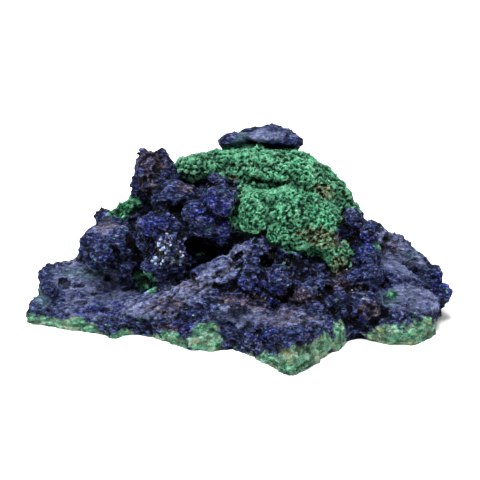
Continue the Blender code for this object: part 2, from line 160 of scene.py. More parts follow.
# Boulders that stand out of the mass.  Each is moved to the nearest point of the stone.
BOULDERS = [
    (-31.4, 3.8, 16.9, 2.4, 2.4, 2.2),
    (-25.3, 1.7, 17.7, 3.2, 3.0, 2.6),
    (-29.1, 0.3, 14.9, 2.8, 2.6, 2.2),
    (-23.9, 1.2, 14.1, 2.6, 2.6, 2.2),
    (-18.4, -0.8, 21.9, 3.6, 3.0, 2.6),
    (-19.9, -0.9, 17.5, 2.6, 2.6, 3.0),
    (-15.2, -3.5, 17.4, 2.8, 2.6, 3.0),
    (-17.7, -4.4, 13.9, 3.2, 2.6, 2.4),
    (-4.2, 0.2, 27.1, 4.6, 3.6, 2.8, -8),
    (-9.4, 0.0, 23.9, 3.4, 3.0, 2.8, -30),
    (-12.7, 5.3, 26.3, 3.6, 2.8, 2.2),
    (-4.9, 6.1, 28.5, 2.0, 1.8, 1.6),
    (-1.1, 7.9, 27.4, 1.8, 1.6, 1.5),
    (-7.3, -2.1, 21.9, 2.8, 2.4, 2.2),
    (-3.1, -1.3, 18.8, 2.2, 2.0, 2.4),
    (0.0, -2.6, 15.9, 3.2, 2.4, 2.2, -36),
    (3.6, -3.4, 16.8, 3.0, 2.6, 2.8, -20),
    (9.4, -3.8, 15.9, 3.6, 2.6, 2.6, 16),
    (3.1, -8.7, 14.6, 2.0, 1.8, 1.6),
    (-3.1, -8.9, 11.6, 3.6, 2.6, 1.8, -30),
    (7.8, -10.8, 11.6, 3.0, 2.6, 2.8, 6),
    (2.6, -10.6, 12.4, 2.3, 2.2, 3.2, -8),
    (5.6, -10.6, 8.8, 2.6, 2.2, 1.8),
    (13.8, -11.2, 10.3, 4.4, 2.6, 2.2, -34),
    (12.9, -6.6, 14.1, 3.0, 2.4, 2.2, 14),
    (18.5, -12.4, 8.6, 3.2, 2.8, 2.6, -20),
    (15.7, -15.0, 7.4, 3.0, 2.4, 1.8),
    (25.7, -13.4, 6.8, 3.2, 2.8, 3.0),
    (26.0, -3.5, 19.6, 2.4, 2.4, 3.2),
    (27.0, -5.2, 15.8, 2.6, 2.4, 2.8),
    (28.0, -7.6, 12.3, 2.6, 2.4, 2.8),
    (25.3, -7.8, 10.8, 2.4, 2.2, 2.4),
    (29.1, -7.9, 7.9, 2.6, 2.4, 2.4),
    (24.4, -1.6, 22.2, 1.8, 1.8, 1.8),
    (27.9, 3.8, 18.7, 2.2, 2.2, 2.0),
    (32.3, 4.5, 15.6, 3.2, 2.6, 1.8, 16),
    (32.5, -2.4, 11.4, 4.2, 3.0, 1.6, 14),
    (9.9, -26.5, 6.8, 3.4, 3.0, 2.0),
    (-2.7, -13.4, 8.6, 4.2, 2.8, 1.6, -14),
    (11.2, -15.7, 6.6, 3.4, 2.6, 1.8),
    (-3.2, 0.4, 17.4, 2.4, 2.4, 2.2),
    (-8.6, 3.0, 12.8, 2.6, 2.2, 1.8),
    (-11.6, 0.6, 12.2, 1.8, 1.8, 1.8),
    (-19.8, 8.6, 29.6, 2.8, 2.4, 3.4),
    (-16.2, 8.2, 28.4, 2.4, 2.2, 3.0, 12),
    (5.4, 16.0, 34.6, 5.0, 4.4, 1.5, 2),
    (9.8, 16.0, 33.6, 3.6, 4.0, 1.8, 26),
    (-1.6, 16.4, 34.0, 3.0, 2.8, 1.6, -10),
    (-41.6, 8.0, 6.0, 2.4, 3.4, 2.4),
    (-42.4, 3.0, 4.6, 2.2, 3.6, 2.6),
    (-43.0, -1.6, 3.0, 2.0, 3.0, 2.4),
    (-7.6, -6.6, 12.6, 3.4, 2.6, 2.4, -26),
    (-4.4, -5.0, 13.8, 3.2, 2.6, 2.6, -30),
]
# Small tufts of malachite in the azurite.
TUFTS = [
    (-8.4, 3.2, 12.4, 0.9, 0.9, 0.8),
    (-7.0, -2.4, 20.8, 1.4, 1.0, 0.7),
    (-24.8, 7.8, 22.0, 3.4, 3.0, 2.4),
    (-19.4, -2.6, 10.2, 1.8, 3.2, 2.8, 30),
    (-18.4, -4.6, 7.6, 1.2, 2.2, 1.4, 30),
    (-20.8, 2.4, 7.8, 1.8, 2.4, 2.4),
    (27.6, -3.2, 17.4, 2.2, 1.6, 0.9),
    (31.6, -8.2, 8.0, 1.0, 1.4, 0.8),
    (-12.0, 23.0, 13.0, 7.4, 4.0, 2.6, 30),
    (-6.0, 24.0, 9.0, 3.0, 4.0, 1.6, 10),
    (24.0, 20.0, 13.0, 2.4, 4.0, 3.6, 20),
    (3.0, 27.0, 5.0, 4.4, 3.0, 1.8),
]
# The malachite bed where it is thick enough to show under the azurite.
BED = [
    (-41.0, -3.0, 0.2, 6.4, 8.0, 2.4, 4),
    (-33.6, -8.4, 0.4, 4.6, 4.0, 2.0),
    (-24.4, -11.4, 0.2, 2.0, 2.4, 1.2),
    (-13.4, -15.6, 1.0, 4.0, 3.0, 1.6, 20),
    (-7.2, -18.4, 2.2, 3.6, 3.6, 3.6),
    (6.6, -28.6, 0.8, 6.0, 5.0, 2.4),
    (11.6, -29.6, 1.8, 5.4, 5.0, 3.4),
    (17.0, -23.6, 2.2, 5.4, 4.0, 3.6, -10),
    (21.4, -17.4, 2.4, 3.4, 3.2, 3.2),
    (30.4, -15.0, 1.2, 4.6, 3.4, 2.6, -6),
    (37.4, -13.4, 1.0, 6.6, 4.0, 3.6),
    (43.0, -8.0, 0.8, 3.6, 4.0, 2.6),
    (42.0, 10.0, 0.6, 5.0, 7.0, 2.6),
    (22.0, 27.0, 0.6, 8.0, 5.0, 2.8),
    (-6.0, 30.0, 0.8, 9.0, 5.0, 3.2),
    (-31.0, 20.0, 0.6, 6.0, 6.0, 2.8),
]
# Where the azurite has another colour: bright crystals, pale powder, clay and a sheen of green.
BRIGHT = [
    (-20.0, 22.0, 10.0, 6.0, 5.0, 5.0),
    (12.0, 27.0, 10.0, 7.0, 5.0, 5.0),
    (32.0, 18.0, 9.0, 5.0, 6.0, 4.0),
    (-5.4, -1.2, 24.6, 6.4, 4.4, 4.4),
    (-3.6, -1.2, 18.4, 2.6, 2.4, 2.4),
    (-3.0, 7.5, 28.0, 4.0, 3.0, 2.4),
    (-17.6, -1.4, 21.0, 4.4, 4.0, 3.6),
    (-16.2, -3.6, 16.3, 4.0, 3.0, 4.4),
    (21.2, -3.2, 19.6, 4.0, 4.0, 3.2),
    (25.6, -4.2, 17.5, 3.4, 3.4, 5.0),
    (23.6, -6.0, 12.6, 3.4, 3.2, 3.4),
    (6.2, -10.4, 10.6, 5.0, 4.0, 4.2),
    (1.0, -10.3, 11.8, 2.6, 3.0, 4.0),
    (8.4, -4.2, 16.2, 6.0, 3.6, 2.2),
    (5.6, -22.6, 4.6, 5.0, 5.0, 2.0),
    (-29.0, -5.0, 3.8, 9.0, 4.6, 1.8),
    (23.0, -13.4, 5.2, 4.2, 3.0, 2.2),
    (-12.0, -14.6, 3.6, 4.4, 3.0, 1.4),
    (42.4, -2.0, 7.6, 3.4, 4.4, 3.4),
    (-29.0, 3.6, 15.6, 2.6, 3.0, 3.0),
]
PALE = [
    (-28.0, 3.6, 18.8, 3.6, 3.6, 2.6),
    (0.0, 28.0, 4.0, 14.0, 6.0, 3.6),
    (-34.0, 14.0, 6.0, 7.0, 8.0, 4.0),
    (36.0, 14.0, 8.0, 7.0, 8.0, 5.0),
    (4.0, 24.0, 24.0, 7.0, 4.0, 4.0),
    (6.0, 16.6, 35.2, 5.0, 4.0, 1.8),
    (-33.0, 4.0, 7.0, 9.0, 9.0, 3.6),
    (-29.0, -4.0, 4.4, 13.0, 7.0, 3.4),
    (-18.0, -10.0, 6.4, 8.0, 5.6, 3.4),
    (-12.0, -9.4, 9.4, 9.0, 5.0, 3.6, -20),
    (-5.4, -7.6, 12.2, 6.0, 4.6, 3.2, -26),
    (-0.6, -4.4, 15.4, 4.4, 3.6, 2.8, -26),
    (34.0, 0.0, 12.4, 9.0, 7.0, 4.0),
    (36.4, -8.4, 7.2, 9.0, 6.0, 3.8),
    (31.4, 4.4, 16.0, 5.6, 5.0, 3.6),
    (12.0, -19.4, 7.0, 8.0, 4.0, 2.0),
    (2.0, -16.6, 6.8, 11.0, 4.4, 2.4),
]
BROWN = [
    (-2.0, 25.0, 14.0, 6.0, 5.0, 4.0),
    (-27.0, 20.0, 6.0, 5.0, 5.0, 4.0),
    (17.0, 22.0, 19.0, 4.4, 4.4, 4.0),
    (-18.6, 9.4, 31.4, 4.6, 4.6, 4.6),
    (-19.4, 7.4, 27.6, 3.4, 3.0, 3.0),
    (-28.0, 4.0, 18.6, 3.6, 3.4, 3.0),
    (-12.6, 6.0, 26.6, 4.2, 3.4, 2.2),
    (26.3, -13.0, 7.0, 4.0, 3.6, 3.2),
    (20.8, -9.8, 11.0, 3.6, 3.0, 2.6),
    (24.6, -9.6, 9.0, 3.4, 3.4, 2.8),
    (12.0, -12.4, 9.4, 5.4, 3.4, 2.6),
    (0.0, -13.0, 8.8, 6.0, 3.0, 1.8),
    (4.0, -15.6, 7.8, 9.0, 3.0, 1.4),
    (-17.0, -13.6, 2.6, 9.0, 2.6, 1.6),
    (26.0, -1.6, 20.6, 2.6, 3.0, 2.4),
    (-3.0, -6.4, 13.2, 4.6, 3.0, 2.0, -26),
    (-9.0, -8.4, 10.4, 6.0, 3.4, 2.4, -24),
    (-15.4, -10.8, 7.0, 6.0, 3.4, 2.2, -14),
    (10.0, -18.0, 6.8, 8.0, 4.0, 2.0),
    (32.0, 2.0, 14.8, 4.0, 4.0, 2.0),
    (16.8, -3.6, 19.2, 6.4, 3.2, 2.6, 12),
    (20.8, -6.0, 13.4, 3.0, 3.0, 4.4),
    (18.0, 6.0, 25.6, 4.0, 3.4, 2.4, 40),
    (12.0, 7.4, 27.6, 3.0, 2.4, 1.6, 20),
    (-1.4, 6.6, 28.6, 1.6, 1.6, 1.2),
]
TEAL = [
    (-33.5, 5.6, 8.0, 6.4, 3.6, 1.8),
    (-42.0, -1.0, 4.0, 2.4, 6.0, 2.6),
    (0.6, 17.0, 34.0, 3.0, 4.0, 2.2),
    (9.4, -8.0, 15.0, 2.6, 3.0, 1.8),
    (13.6, -11.6, 10.0, 3.4, 2.4, 1.6, -30),
    (35.4, 4.0, 12.6, 4.0, 3.0, 2.0),
    (30.0, -9.4, 7.6, 4.0, 3.0, 1.6),
]
# Deep pores and gaps between boulders, pressed in and painted dark as shade.
PITS = [
    (-37.3, 2.9, 6.4, 1.2, 1.0, 1.0),
    (-34.6, 2.4, 6.2, 1.4, 0.7, 0.7),
    (-28.2, 4.8, 6.8, 0.8, 0.8, 0.8),
    (-33.3, -2.3, 4.1, 1.2, 0.8, 0.7),
    (-28.1, -4.7, 3.7, 1.6, 0.8, 0.8),
    (-25.4, -6.6, 4.6, 1.2, 0.7, 0.7),
    (-31.2, -5.6, 3.0, 1.3, 0.7, 0.7),
    (-21.1, 0.5, 9.6, 1.3, 1.2, 1.4),
    (0.7, -19.6, 6.7, 1.7, 1.5, 1.6),
    (3.6, -21.6, 5.9, 1.2, 1.2, 1.3),
    (4.1, -24.1, 4.9, 1.1, 1.1, 1.3),
    (11.4, -27.0, 5.6, 1.5, 1.3, 1.3),
    (8.2, -26.6, 6.0, 1.1, 1.1, 1.1),
    (10.3, -10.4, 11.1, 0.9, 1.4, 2.2),
    (5.0, -7.6, 15.3, 2.6, 1.4, 0.9),
    (9.0, -7.4, 14.8, 1.6, 1.2, 1.0),
    (18.6, -10.9, 9.6, 0.9, 1.2, 2.0, 10),
    (13.0, -6.3, 14.4, 3.0, 1.4, 1.0, 14),
    (16.8, -7.4, 12.8, 2.6, 1.4, 1.0, 20),
    (-10.2, -7.8, 11.4, 2.4, 0.8, 0.7, -26),
    (-4.4, -9.6, 10.6, 2.6, 0.8, 0.7, -26),
    (-13.8, -12.4, 6.8, 2.4, 0.8, 0.6, -20),
    (-1.0, -5.0, 14.8, 1.8, 0.8, 0.6, -40),
    (28.8, -5.6, 9.8, 1.4, 1.6, 1.2),
    (36.6, 0.6, 10.2, 2.2, 1.2, 0.9, 20),
    (41.0, -2.6, 7.4, 1.6, 1.4, 1.2),
    (23.0, -10.4, 5.6, 1.4, 1.4, 1.4),
]
# Where the rock is drawn out in streaks, each with the way that they run.
STREAKS = {
    "left_slab": ((0.78, -0.62, -0.05), [(-32.0, -1.0, 5.0, 14.0, 12.0, 5.0)]),
    "ridge": ((0.87, 0.26, 0.42), [(-16.0, -9.6, 7.6, 8.0, 6.0, 4.4, -10),
                                   (-8.0, -7.8, 11.0, 8.0, 5.0, 4.0, -24),
                                   (-1.0, -5.0, 15.0, 5.0, 4.0, 3.4, -26)]),
    "apron": ((0.80, -0.55, -0.20), [(3.0, -17.0, 6.0, 15.0, 5.0, 3.4)]),
    "lump": ((0.93, 0.0, -0.36), [(-5.8, -1.4, 22.4, 6.6, 4.6, 4.6)]),
    "nodules": ((0.80, 0.0, -0.60), [(5.8, -10.0, 10.6, 6.4, 4.6, 4.4),
                                     (13.6, -10.6, 10.6, 5.0, 4.0, 3.0)]),
    "column": ((0.25, 0.0, 0.97), [(24.0, -10.0, 8.6, 4.4, 4.4, 4.4),
                                   (27.0, -5.0, 15.0, 3.0, 4.0, 4.0)]),
    "back_left": ((0.50, 0.0, 0.87), [(-15.0, 22.0, 10.0, 9.0, 8.0, 9.0)]),
    "back_right": ((0.90, 0.3, 0.30), [(20.0, 22.0, 8.0, 12.0, 9.0, 6.0)]),
    "right_slab": ((0.95, -0.20, -0.25), [(35.0, -3.0, 9.6, 11.0, 10.0, 6.0, 14)]),
}
# Worn lumps, smoother than the rest.
WORN = [
    (-28.2, 3.6, 17.6, 4.6, 4.4, 4.0),
    (-13.2, 5.8, 26.4, 4.8, 3.8, 2.6),
    (3.0, 15.8, 34.4, 11.0, 6.0, 5.0),
]
# Painted shade on the crest's left end and right shoulder: the malachite there is painted duller
# and darker.
CREST_SHADE = [
    (-8.6, 11.0, 29.6, 7.0, 7.0, 4.0),
    (-2.0, 8.0, 27.6, 6.0, 4.0, 2.4),
    (21.0, 8.0, 22.6, 5.4, 7.0, 6.4),
    (14.6, 7.0, 26.4, 3.0, 4.0, 1.8, 20),
]
# Larger crystals that catch the light; they are also painted pale there as glints.
GLITTER = [
    (-15.4, -3.4, 17.0, 2.2, 2.0, 2.6),
    (-13.4, -3.6, 14.6, 2.6, 2.0, 1.6, 20),
    (-16.4, -4.4, 14.2, 2.0, 2.0, 1.4),
]


def on_linear(hex_colour):
    """An sRGB hex colour as linear red, green and blue."""
    shares = [int(hex_colour[i:i + 2], 16) / 255 for i in (1, 3, 5)]
    return tuple(s / 12.92 if s <= 0.04045 else ((s + 0.055) / 1.055) ** 2.4 for s in shares)


def deselect_all():
    for item in bpy.context.selected_objects:
        item.select_set(False)


def make_active(piece):
    deselect_all()
    piece.select_set(True)
    bpy.context.view_layer.objects.active = piece


def edit_whole(piece):
    """Goes into edit mode with the whole piece selected."""
    make_active(piece)
    bpy.ops.object.mode_set(mode="EDIT")
    bpy.ops.mesh.select_all(action="SELECT")


def apply_modifiers(piece):
    make_active(piece)
    for modifier in list(piece.modifiers):
        bpy.ops.object.modifier_apply(modifier=modifier.name)


def stone_copy(name):
    """A copy of the CAD stone, its loose triangles merged into one closed surface."""
    piece = bpy.data.objects.new(name, frame["nodes"][NODE].data.copy())
    bpy.context.scene.collection.objects.link(piece)
    piece.data.materials.clear()
    edit_whole(piece)
    bpy.ops.mesh.remove_doubles(threshold=1e-6)
    bpy.ops.object.mode_set(mode="OBJECT")
    return piece


def read(items, name, width, kind=np.float32):
    """One value, of so many numbers, of each point or edge of a mesh."""
    values = np.empty(len(items) * width, kind)
    items.foreach_get(name, values)
    return values.reshape(-1, width)


def points_of(piece):
    """The piece's points in millimetres."""
    return read(piece.data.vertices, "co", 3).astype(float) / MM


def normals_of(piece):
    return read(piece.data.vertices, "normal", 3).astype(float)


def noise_at(points, size, layers=2):
    """Smooth noise of about -1 to 1 at each point, in blobs of the given size in millimetres."""
    return np.array([noise.fractal(Vector(p) / size, 0.7, 2.0, layers) for p in points])


def fade(values, start, end):
    """0 up to the start, 1 from the end on, and even in between."""
    return np.clip((values - start) / (end - start), 0, 1)


def ragged_edge(points):
    """How far the edges of patches wander in and out, in shares of a blob's radius."""
    return 0.16 * noise_at(points, 2.2, 3)


def parts_of(blob):
    """A blob's middle, its radii and its turn about Y."""
    x, y, z, rx, ry, rz, tip = (*blob, 0)[:7]
    return (x, y, z), (rx, ry, rz), (0, math.radians(tip), 0)


def inside(points, blobs, ragged=None, soft=0.12):
    """1 inside the blobs and 0 outside, with an edge that ragged moves in and out."""
    depth = np.full(len(points), 9.0)
    for middle, radii, turn in map(parts_of, blobs):
        turned = (points - middle) @ np.array(Euler(turn).to_matrix())
        depth = np.minimum(depth, np.linalg.norm(turned / radii, axis=1))
    if ragged is not None:
        depth = depth + ragged
    return np.clip((1 - depth) / soft + 0.5, 0, 1)


def crusted(points, ragged=None, soft=0.12):
    """1 where malachite covers the azurite."""
    return inside(points, CRUST, ragged, soft) * (1 - inside(points, BARE, ragged, soft))


def set_attribute(piece, name, values):
    layer = piece.data.attributes.new(name, "FLOAT", "POINT")
    layer.data.foreach_set("value", np.asarray(values, np.float32))


def attribute_of(piece, name):
    return read(piece.data.attributes[name].data, "value", 1)[:, 0]


def set_group(piece, name, weights):
    group = piece.vertex_groups.new(name=name)
    for index in np.flatnonzero(weights > 0.01):
        group.add([int(index)], float(weights[index]), "REPLACE")


def relief(piece, passes):
    """How far each point stands out of the surface around it, in millimetres."""
    points = points_of(piece)
    ends = read(piece.data.edges, "vertices", 2, np.int32)
    one, other = ends.T
    count = np.maximum(np.bincount(ends.ravel(), minlength=len(points)), 1)[:, None]
    smooth = points.copy()
    for _ in range(passes):
        total = np.stack([np.bincount(one, smooth[other, k], len(points))
                          + np.bincount(other, smooth[one, k], len(points)) for k in range(3)], 1)
        smooth = 0.5 * smooth + 0.5 * total / count
    return ((points - smooth) * normals_of(piece)).sum(1)


def solid_stone():
    """The CAD stone as a tree that rays and nearest points can be asked of."""
    mesh = frame["nodes"][NODE].data
    return BVHTree.FromPolygons([vert.co for vert in mesh.vertices],
                                [face.vertices for face in mesh.polygons])


def outer_side(piece, depth=0.9):
    """1 where the piece lies less than that many millimetres under the stone's own surface."""
    solid = solid_stone()
    outer = []
    for vert in piece.data.vertices:
        spot, normal, _, _ = solid.find_nearest(vert.co)
        outer.append((vert.co - spot).dot(normal) > -depth * MM)
    return np.array(outer, float)


def shelter(piece, reach=9.0, rays=14, lift=0.9):
    """How much of the open space over each point the stone itself takes up, from 0 to 1.  The
    rays start that lift above the point and end at the reach, both in millimetres."""
    solid = solid_stone()
    ways = []
    for i in range(rays):
        up = 1 - (2 * i + 1) / rays
        turn = i * GOLDEN_ANGLE
        flat = math.sqrt(1 - up * up)
        ways.append(Vector((flat * math.cos(turn), flat * math.sin(turn), up)))
    blocked = []
    for vert in piece.data.vertices:
        start = vert.co + vert.normal * lift * MM
        hits = 0
        for way in ways:
            look = way if way.dot(vert.normal) > 0 else -way
            hits += solid.ray_cast(start, look, reach * MM)[0] is not None
        blocked.append(hits / rays)
    return np.array(blocked)


def add_boulders(piece, boulders, sink=0.55):
    """Adds rough boulders, each sunk into the piece it stands on."""
    made = []
    for middle, radii, turn in map(parts_of, boulders):
        _, spot, normal, _ = piece.closest_point_on_mesh(Vector(middle) * MM)
        deselect_all()
        bpy.ops.mesh.primitive_ico_sphere_add(
            subdivisions=4, radius=MM, location=spot - normal * min(radii) * sink * MM,
            rotation=turn, scale=radii)
        made.append(bpy.context.object)
    for item in made:
        item.select_set(True)
    bpy.context.view_layer.objects.active = made[0]
    bpy.ops.object.join()
    bpy.ops.object.transform_apply()
    group = bpy.context.object
    roughen(group, "DISTORTED_NOISE", 5.0, -1.0, **CHIPS, distortion=0.6)
    deselect_all()
    group.select_set(True)
    piece.select_set(True)
    bpy.context.view_layer.objects.active = piece
    bpy.ops.object.join()


def remesh(piece, voxel):
    grid = piece.modifiers.new("grid", "REMESH")
    grid.mode = "VOXEL"
    grid.voxel_size = voxel
    apply_modifiers(piece)


def thin_out(piece, most):
    """Collapses the smallest edges until the piece has no more than that many triangles."""
    faces = sum(len(face.vertices) - 2 for face in piece.data.polygons)
    if faces > most:
        fewer = piece.modifiers.new("fewer", "DECIMATE")
        fewer.ratio = most / faces
        apply_modifiers(piece)


def roughen(piece, kind, size, height, group="", level=0.5, way=None, **settings):
    """Displaces the surface by a solid texture of that size and height in millimetres, where
    the group is.  A level of 0 only raises it and 1 only lowers it.  With a way, the texture is
    drawn out along it."""
    texture = bpy.data.textures.new("relief", kind)
    texture.noise_scale = size * MM
    for name, value in settings.items():
        setattr(texture, name, value)
    push = piece.modifiers.new("relief", "DISPLACE")
    push.texture = texture
    push.texture_coords = "LOCAL"
    push.strength = height * MM
    push.mid_level = level
    push.vertex_group = group
    if way is not None:
        guide = bpy.data.objects.new("guide", None)
        bpy.context.scene.collection.objects.link(guide)
        guide.rotation_mode = "QUATERNION"
        guide.rotation_quaternion = Vector(way).to_track_quat("X", "Z")
        guide.scale = (STREAK_LENGTH, 1, 1)
        bpy.context.view_layer.update()
        push.texture_coords = "OBJECT"
        push.texture_coords_object = guide
    apply_modifiers(piece)
    bpy.data.textures.remove(texture)
    if way is not None:
        bpy.data.objects.remove(guide)


def select_points(piece, chosen):
    """Goes into edit mode with only the chosen points selected."""
    make_active(piece)
    bpy.ops.object.mode_set(mode="EDIT")
    bpy.ops.mesh.select_mode(type="VERT")
    bpy.ops.mesh.select_all(action="DESELECT")
    bpy.ops.object.mode_set(mode="OBJECT")
    piece.data.vertices.foreach_set("select", chosen)
    bpy.ops.object.mode_set(mode="EDIT")


def delete_selected():
    bpy.ops.mesh.delete(type="VERT")
    bpy.ops.object.mode_set(mode="OBJECT")


def drop_crumbs(piece):
    """Deletes every bit that is loose from the body of the piece, which its top belongs to."""
    heights = points_of(piece)[:, 2]
    select_points(piece, np.arange(len(heights)) == np.argmax(heights))
    bpy.ops.mesh.select_linked()
    bpy.ops.mesh.select_all(action="INVERT")
    delete_selected()


def push_in(piece, group, depth):
    """Presses the surface in by that many millimetres where the group is."""
    push = piece.modifiers.new("dent", "DISPLACE")
    push.strength = -depth * MM
    push.mid_level = 0.0
    push.vertex_group = group
    apply_modifiers(piece)


def wear_down(piece, group, passes):
    """Evens out the lumps where the group is."""
    worn = piece.modifiers.new("worn", "SMOOTH")
    worn.iterations = passes
    worn.vertex_group = group
    apply_modifiers(piece)


def add_node(tree, kind, settings=None, inputs=None, stops=None):
    """Adds a node, sets its own settings, gives its inputs values or links, and a colour
    ramp its stops.  A colour is a hex text or linear numbers."""
    node = tree.nodes.new(kind)
    for name, value in (settings or {}).items():
        setattr(node, name, value)
    for name, value in (inputs or {}).items():
        if isinstance(value, bpy.types.NodeSocket):
            tree.links.new(value, node.inputs[name])
        elif isinstance(value, str) and value.startswith("#"):
            node.inputs[name].default_value = (*on_linear(value), 1.0)
        else:
            node.inputs[name].default_value = value
    for index, (place, colour) in enumerate(stops or []):
        band = node.color_ramp.elements
        stop = band[index] if index < len(band) else band.new(place)
        stop.position = place
        stop.color = (*colour, 1.0)
    return node


def grow(name, ground, grain, per_mm2, sizes, lean, seed, where):
    """Makes a piece of grains that stand on another piece, the ground, each with its own mesh.
    The sizes are the least and the most times the grain's own, the lean is in radians, and where
    names the attribute that says how closely they stand.  Those that glitter are up to twice as
    large."""
    piece = bpy.data.objects.new(name, bpy.data.objects[ground].data.copy())
    bpy.context.scene.collection.objects.link(piece)
    tree = bpy.data.node_groups.new("scatter", "GeometryNodeTree")
    for end in ("INPUT", "OUTPUT"):
        tree.interface.new_socket("Geometry", in_out=end, socket_type="NodeSocketGeometry")
    surface = add_node(tree, "NodeGroupInput").outputs[0]
    share = add_node(tree, "GeometryNodeInputNamedAttribute", {"data_type": "FLOAT"},
                     {"Name": where}).outputs["Attribute"]
    density = add_node(tree, "ShaderNodeMath", {"operation": "MULTIPLY"},
                       {0: share, 1: per_mm2 / MM ** 2}).outputs[0]
    points = add_node(tree, "GeometryNodeDistributePointsOnFaces", {}, {
        "Mesh": surface, "Seed": seed, "Density": density})
    size = add_node(tree, "FunctionNodeRandomValue", {"data_type": "FLOAT"},
                    {2: sizes[0], 3: sizes[1], "Seed": seed}).outputs[1]
    tone = add_node(tree, "FunctionNodeRandomValue", {"data_type": "FLOAT"},
                    {2: 0.0, 3: 1.0, "Seed": seed + 1}).outputs[1]
    turn = add_node(tree, "FunctionNodeRandomValue", {"data_type": "FLOAT_VECTOR"}, {
        0: (-lean, -lean, 0), 1: (lean, lean, math.tau), "Seed": seed + 2}).outputs[0]
    turned = add_node(tree, "FunctionNodeRotateRotation", {"rotation_space": "LOCAL"}, {
        "Rotation": points.outputs["Rotation"], "Rotate By": turn}).outputs[0]
    toned = add_node(tree, "GeometryNodeStoreNamedAttribute", {"data_type": "FLOAT"}, {
        "Geometry": points.outputs["Points"], "Name": "tone", "Value": tone}).outputs[0]
    model = add_node(tree, "GeometryNodeObjectInfo", {}, {"Object": grain}).outputs["Geometry"]
    showy = add_node(tree, "GeometryNodeInputNamedAttribute", {"data_type": "FLOAT"},
                     {"Name": "glitter"}).outputs["Attribute"]
    grown = add_node(tree, "ShaderNodeMath", {"operation": "MULTIPLY_ADD"},
                     {0: showy, 1: size, 2: size}).outputs[0]
    placed = add_node(tree, "GeometryNodeInstanceOnPoints", {}, {
        "Points": toned, "Instance": model, "Rotation": turned, "Scale": grown}).outputs[0]
    real = add_node(tree, "GeometryNodeRealizeInstances", {}, {"Geometry": placed}).outputs[0]
    add_node(tree, "NodeGroupOutput", {}, {0: real})
    spread = piece.modifiers.new("scatter", "NODES")
    spread.node_group = tree
    apply_modifiers(piece)
    bpy.data.node_groups.remove(tree)
    bpy.data.objects.remove(grain)
    return piece


def shades(colour, spread=1.0):
    """From the dark between grains of one colour to the light on them.  A spread under 1 brings
    them nearer to each other."""
    tones = [[v * (1 + spread * (share - 1)) + spread * white for v in colour]
             for share, white in ((0.05, 0.0), (0.30, 0.0), (1.0, 0.0), (1.5, 0.04), (1.8, 0.15))]
    return list(zip((0.0, 0.28, 0.52, 0.76, 1.0), tones))


def patches(tree, where, size, low, high, detail=5.0, zone=None):
    """A mask of ragged patches of that size in millimetres, inside a zone if one is named."""
    cloud = add_node(tree, "ShaderNodeTexNoise", {}, {
        "Vector": where, "Scale": 1 / (size * MM), "Detail": detail, "Roughness": 0.7,
        "Distortion": 0.3}).outputs["Fac"]
    if zone is not None:
        inside_it = add_node(tree, "ShaderNodeAttribute", {"attribute_name": zone})
        cloud = add_node(tree, "ShaderNodeMath", {"operation": "MULTIPLY_ADD"}, {
            0: inside_it.outputs["Fac"], 1: 0.5, 2: cloud}).outputs[0]
        low, high = low + 0.5, high + 0.5
    return add_node(tree, "ShaderNodeMapRange", {}, {
        "Value": cloud, "From Min": low, "From Max": high}).outputs["Result"]


def laid_over(tree, body, coats):
    """Lays coats over a colour, each a share, a colour and how far it covers."""
    for share, coat, cover in coats:
        part = add_node(tree, "ShaderNodeMath", {"operation": "MULTIPLY", "use_clamp": True},
                        {0: share, 1: cover}).outputs[0]
        body = add_node(tree, "ShaderNodeMix", {"data_type": "RGBA"},
                        {0: part, 6: body, 7: coat}).outputs[2]
    return body


def with_painted_shade(tree, body, saturation=BLUE):
    """Paints shade into a colour where the surface lies deep: in fine relief, in hollows, under the
    stone's own cover and in pits.  Each depth has where the light is lost, where it is whole
    again, and the share that is left.  The colour is then made more saturated all over."""
    for name, low, high, left in (("relief", -0.15, 0.06, 0.05), ("hollow", -0.9, 0.2, 0.4),
                                  ("shelter", 0.95, 0.50, 0.7), ("pit", 1.0, 0.0, 0.25)):
        depth = add_node(tree, "ShaderNodeAttribute", {"attribute_name": name}).outputs["Fac"]
        light = add_node(tree, "ShaderNodeMapRange", {}, {
            "Value": depth, "From Min": low, "From Max": high, "To Min": left}).outputs["Result"]
        body = add_node(tree, "ShaderNodeMix", {"data_type": "RGBA", "blend_type": "MULTIPLY"},
                        {0: 1.0, 6: body, 7: light}).outputs[2]
    return add_node(tree, "ShaderNodeHueSaturation", {}, {
        "Saturation": saturation, "Color": body}).outputs["Color"]


def new_material(name):
    material = bpy.data.materials.new(name)
    material.use_nodes = True
    return material, material.node_tree, material.node_tree.nodes["Principled BSDF"]


def set_finish(tree, shader, body, roughness, ior, gloss):
    """Gives the shader its colour and how rough, refracting and glossy the surface is."""
    tree.links.new(body, shader.inputs["Base Color"])
    for name, value in (("Roughness", roughness), ("IOR", ior), ("Specular IOR Level", gloss)):
        shader.inputs[name].default_value = value


def azurite_colour(tree, where, grain, colours):
    """Azurite is a blue copper carbonate.  Its crystals are deep ultramarine; the near black where
    they lie deep is painted shade, laid on afterwards.  Powder dusts them grey-blue, and clay and
    limonite brown."""
    deep, bright, pale, brown, teal = (
        add_node(tree, "ShaderNodeValToRGB", {}, {"Fac": grain},
                 shades(colour, spread)).outputs["Color"]
        for colour, spread in ((colours.deep, 1.0), (colours.bright, 1.0), (colours.pale, 0.42),
                               (colours.brown, 0.9), (colours.teal, 0.5)))
    return laid_over(tree, deep, (
        (patches(tree, where, 3.6, 0.60, 0.68), bright, 0.75),
        (patches(tree, where, 3.0, 0.34, 0.54, zone="pale"), pale, 0.9),
        (patches(tree, where, 2.2, 0.38, 0.50, zone="bright"), bright, 0.9),
        (patches(tree, where, 1.3, 0.42, 0.56, zone="brown"), brown, 0.8),
        (patches(tree, where, 2.0, 0.36, 0.54, zone="teal"), teal, 0.85),
        (patches(tree, where, 0.9, 0.54, 0.66), brown, 0.5)))


